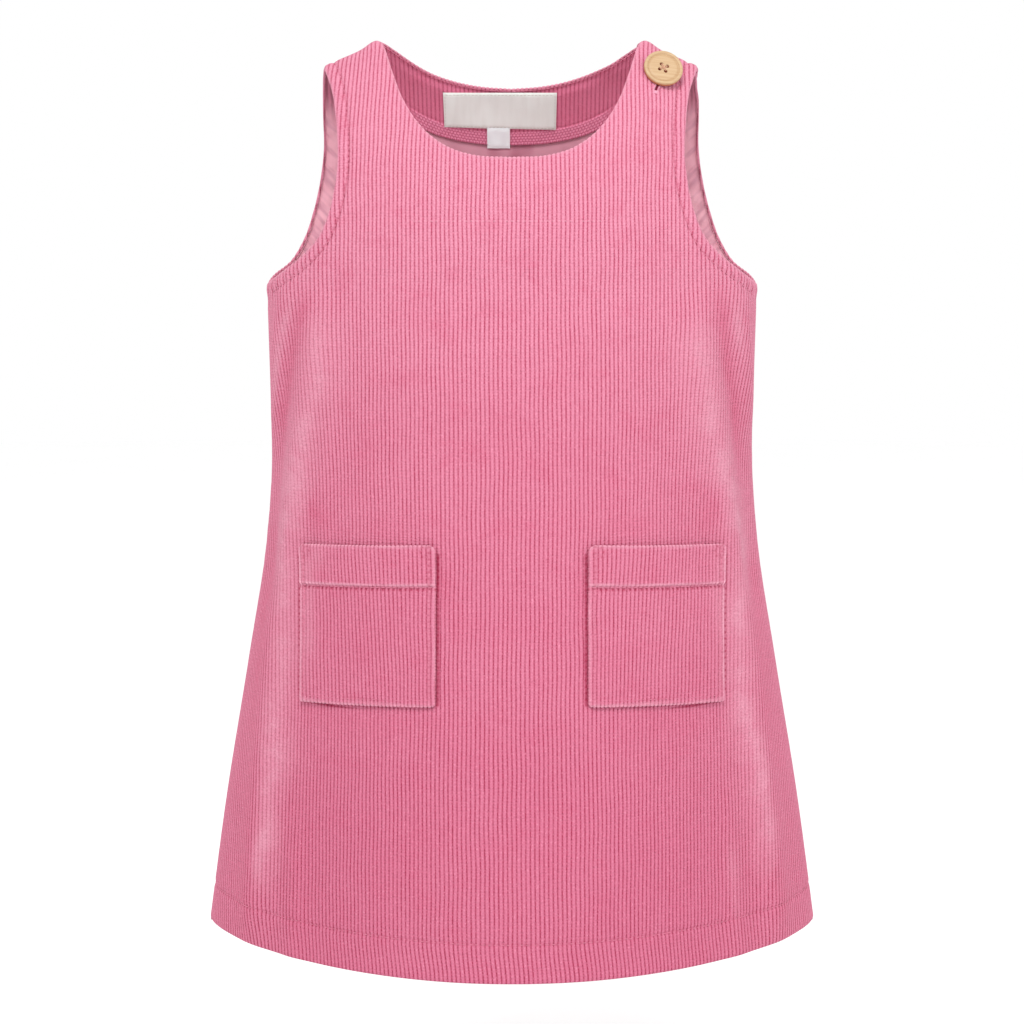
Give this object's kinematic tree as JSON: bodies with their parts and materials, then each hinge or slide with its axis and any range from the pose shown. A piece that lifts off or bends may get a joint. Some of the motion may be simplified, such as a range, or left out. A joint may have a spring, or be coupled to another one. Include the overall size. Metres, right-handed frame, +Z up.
{
  "type": "pinafore dress",
  "caption": "Toddler's sleeveless A-line corduroy pinafore dress, hollow as worn, with patch pockets, a lined inside and one shoulder fastened by a wooden button",
  "frame": {"origin": "midway between the two straps, at the top of the shoulders, where the wearer's shoulders carry the dress", "axes": "the front faces -Y, +X is towards the wearer's left (the buttoned shoulder), +Z is up"},
  "size_m": [0.3062, 0.2348, 0.4453],
  "materials": {
    "corduroy": "pink needlecord with upright ribs and a soft nap",
    "lining": "smooth dusty pink woven lining",
    "label": "cream satin ribbon, bare",
    "tag": "white satin ribbon, bare",
    "wood": "smooth pale turned wood"
  },
  "bodies": {
    "root": {"front_panel": "corduroy", "back_panel": "corduroy", "pocket_right": "corduroy", "pocket_left": "corduroy", "neck_facing_back": "corduroy", "lining_front": "lining", "lining_back": "lining", "neck_label": "label", "size_tag": "tag", "button": "wood"}
  },
  "joints": []
}
